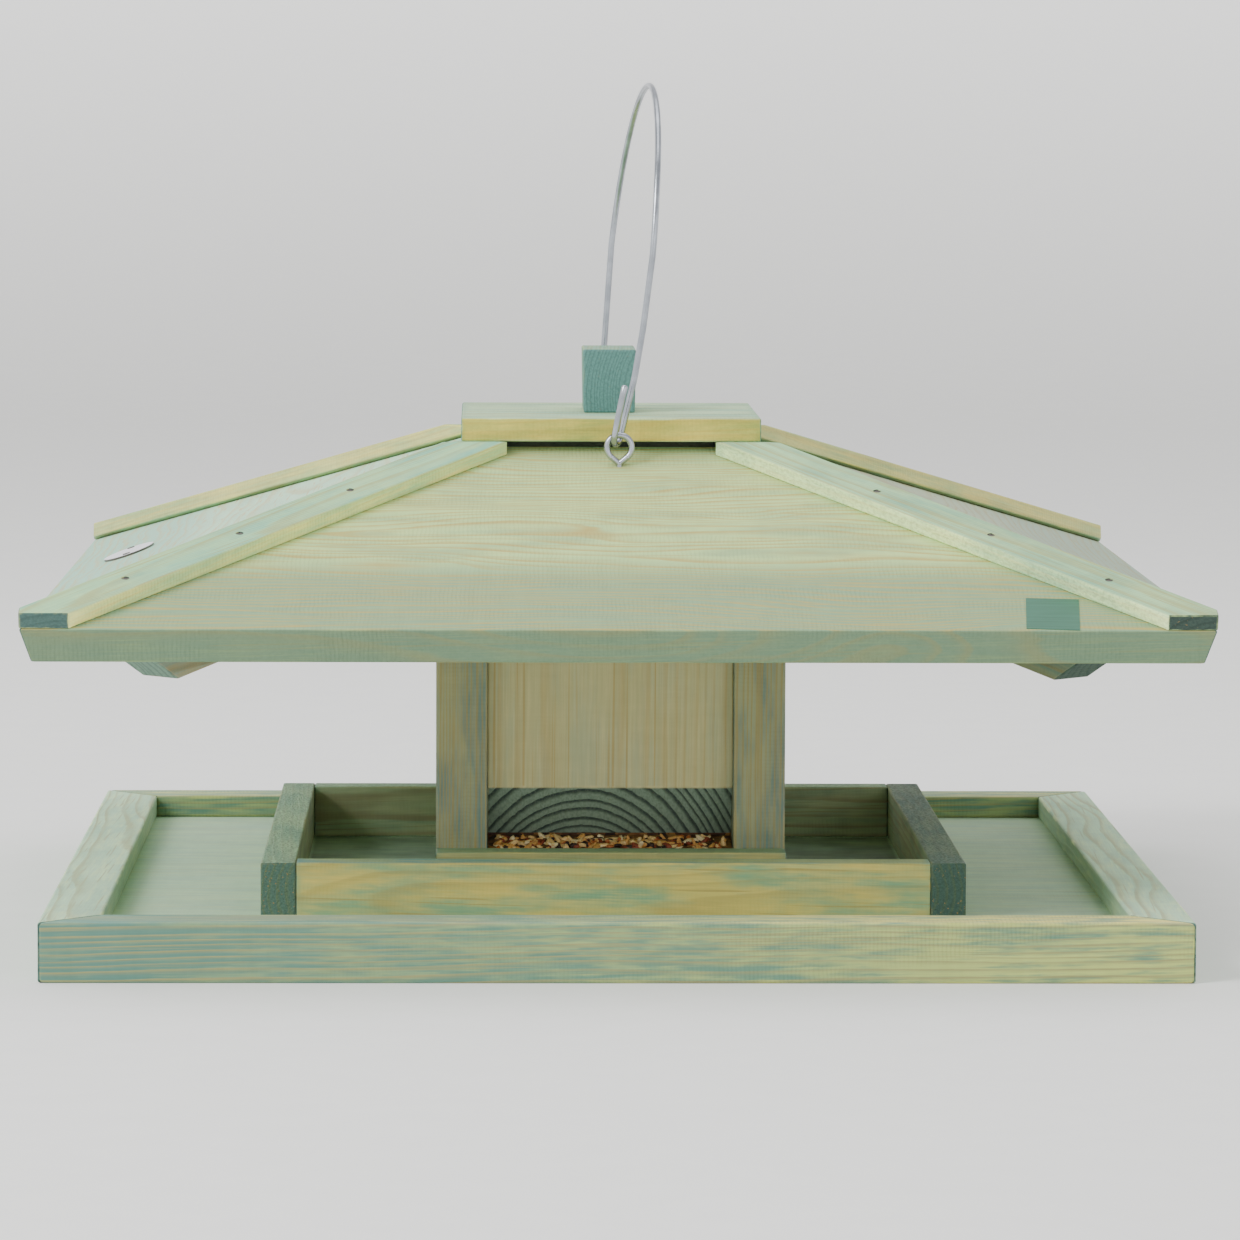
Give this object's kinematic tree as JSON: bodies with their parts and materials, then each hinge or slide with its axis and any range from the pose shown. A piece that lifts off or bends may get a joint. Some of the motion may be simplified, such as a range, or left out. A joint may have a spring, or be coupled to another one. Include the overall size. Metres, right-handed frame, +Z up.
{
  "type": "hanging bird table",
  "caption": "A square hanging bird table of green-stained wood with a central seed hopper, a hipped roof, a lift-off lid and a wire bail.",
  "frame": {"origin": "centre of the tray's underside", "axes": "+X to the right, +Y to the back, +Z up; the front of the tray faces -Y"},
  "size_m": [0.524, 0.5288, 0.395],
  "materials": {
    "tray_wood": "green-stained sawn softwood, weathered to sage and ochre",
    "hopper_wood": "green-stained sawn softwood, worn to ochre along the grain",
    "rafter_wood": "green-stained sawn softwood, darker under the roof",
    "roof_wood": "green-stained planed softwood, thin pale stain",
    "lid_wood": "green-stained planed softwood, teal end grain",
    "seed": "mixed dry bird seed",
    "zinc_wire": "zinc-plated spring wire",
    "tag_metal": "plain rolled aluminium tag",
    "label_film": "plain green label film, nothing on it",
    "screw_steel": "zinc-plated wood screws",
    "nail_steel": "bright wire nails and brads"
  },
  "bodies": {
    "root": {"tray_floor": "tray_wood", "rim_front": "tray_wood", "rim_right": "tray_wood", "rim_back": "tray_wood", "rim_left": "tray_wood", "rail_front": "tray_wood", "rail_right": "tray_wood", "rail_back": "tray_wood", "rail_left": "tray_wood", "post_front_left": "hopper_wood", "post_front_right": "hopper_wood", "post_back_right": "hopper_wood", "post_back_left": "hopper_wood", "hopper_front": "hopper_wood", "hopper_right": "hopper_wood", "hopper_back": "hopper_wood", "hopper_left": "hopper_wood", "kick_rail_front": "hopper_wood", "kick_rail_back": "hopper_wood", "seed_fill": "seed", "rafter_front_left": "rafter_wood", "rafter_front_right": "rafter_wood", "rafter_back_right": "rafter_wood", "rafter_back_left": "rafter_wood", "roof_front": "roof_wood", "roof_right": "roof_wood", "roof_back": "roof_wood", "roof_left": "roof_wood", "batten_front_left": "roof_wood", "batten_front_right": "roof_wood", "batten_back_right": "roof_wood", "batten_back_left": "roof_wood", "screw_eye_front": "zinc_wire", "screw_eye_back": "zinc_wire", "metal_tag": "tag_metal", "tag_pins": "nail_steel", "blank_label": "label_film", "rim_screws": "screw_steel", "rail_screws": "screw_steel", "post_screws": "screw_steel", "rafter_screws": "screw_steel", "kick_rail_nails": "nail_steel", "batten_brads": "nail_steel"},
    "lid": {"lid_plate": "lid_wood", "lid_locator": "lid_wood", "lid_knob": "lid_wood", "lid_screw": "screw_steel"},
    "bail": {"bail": "zinc_wire"}
  },
  "joints": [
    {"name": "bail_swing", "type": "hinge", "parent": "root", "child": "bail", "pos_m": [0, 0, 0.22758], "axis": [-0.0229, 0.9997, 0], "range_deg": [-90, 74]},
    {"name": "lid_lift", "type": "slide", "parent": "root", "child": "lid", "axis": [0, 0, 1], "range_m": [0, 0.06]}
  ]
}
